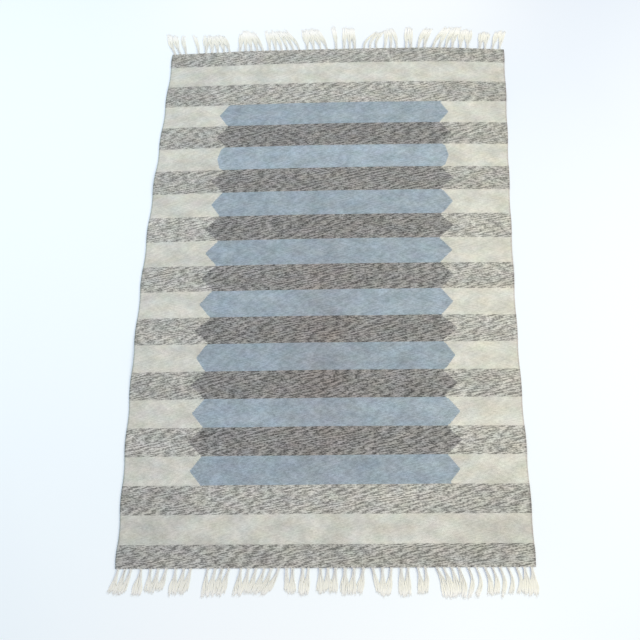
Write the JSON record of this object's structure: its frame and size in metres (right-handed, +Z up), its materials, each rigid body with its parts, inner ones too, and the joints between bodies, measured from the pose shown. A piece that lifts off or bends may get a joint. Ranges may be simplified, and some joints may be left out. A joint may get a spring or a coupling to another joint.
{
  "type": "swedish flatweave rug",
  "caption": "Flat striped wool rug with a column of pointed bars down its middle, lying on a floor with its fringed ends spread out.",
  "frame": {"origin": "on the floor, under the middle of the rug with its fringes", "axes": "+Z up, +Y along the rug towards its far end, +X across the rug to the right"},
  "size_m": [1.6398, 2.6366, 0.0076],
  "materials": {
    "wool_weave": "matt wool tapestry weave in cream, grey-blue and speckled grey yarns",
    "warp_yarn": "matt twisted ivory warp yarn"
  },
  "bodies": {
    "root": {"rug_cloth": "wool_weave", "fringe_near": "warp_yarn", "fringe_far": "warp_yarn"}
  },
  "joints": []
}
